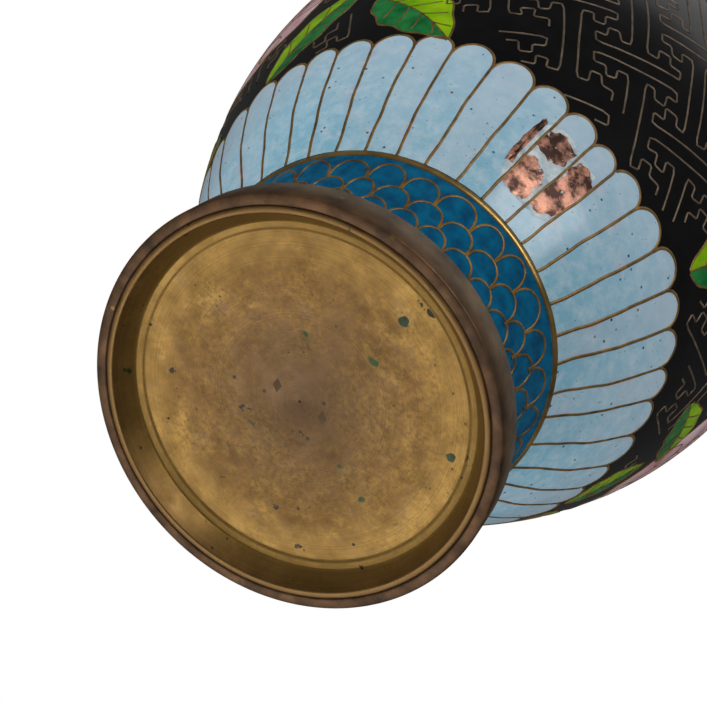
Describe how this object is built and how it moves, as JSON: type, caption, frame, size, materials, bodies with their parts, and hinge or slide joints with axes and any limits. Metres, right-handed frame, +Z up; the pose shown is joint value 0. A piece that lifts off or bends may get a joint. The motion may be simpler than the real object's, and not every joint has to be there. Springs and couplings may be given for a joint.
{
  "type": "cloisonne vase",
  "caption": "Baluster cloisonne vase on a low foot, with enamel cells between wires and an open mouth for stems.",
  "frame": {"origin": "centre of the foot's resting edge", "axes": "+Z up the vase's axis, -Y towards the front"},
  "size_m": [0.131, 0.131, 0.254],
  "materials": {
    "copper": "satin spun copper",
    "foot_brass": "satin, worn and brown",
    "pan_brass": "lathe turned, tarnished golden brown",
    "rim_brass": "satin polished",
    "gilt_wire": "worn gilt",
    "petal_wire": "dull brass",
    "fret_wire": "dull dark brass",
    "teal_enamel": "mottled gloss",
    "black_enamel": "gloss",
    "counter_enamel": "gloss",
    "sky_enamel": "speckled gloss",
    "pink_enamel": "shaded gloss",
    "yellow_enamel": "gloss",
    "light_green_enamel": "gloss",
    "dark_green_enamel": "gloss"
  },
  "bodies": {
    "root": {"lower_shell": "copper", "upper_shell": "copper", "neck_shell": "copper", "foot_ring": "foot_brass", "base_pan": "pan_brass", "mouth_rim": "rim_brass", "foot_joint_wire": "gilt_wire", "waist_wire": "gilt_wire", "shoulder_wire": "gilt_wire", "neck_wire": "gilt_wire", "lip_wire": "gilt_wire", "scale_enamel": "teal_enamel", "lower_ground_enamel": "black_enamel", "upper_ground_enamel": "black_enamel", "neck_scale_enamel": "teal_enamel", "neck_ground_enamel": "black_enamel", "body_liner": "counter_enamel", "neck_liner": "counter_enamel", "petal_enamel": "sky_enamel", "petal_wires": "petal_wire", "collar_enamel": "sky_enamel", "collar_wires": "petal_wire", "neck_petal_enamel": "sky_enamel", "neck_petal_wires": "petal_wire", "scale_wires": "petal_wire", "neck_scale_wires": "petal_wire", "flower_enamel": "pink_enamel", "heart_enamel": "yellow_enamel", "flower_wires": "petal_wire", "light_leaf_enamel": "light_green_enamel", "dark_leaf_enamel": "dark_green_enamel", "leaf_wires": "petal_wire", "fret_wires": "fret_wire"}
  },
  "joints": []
}
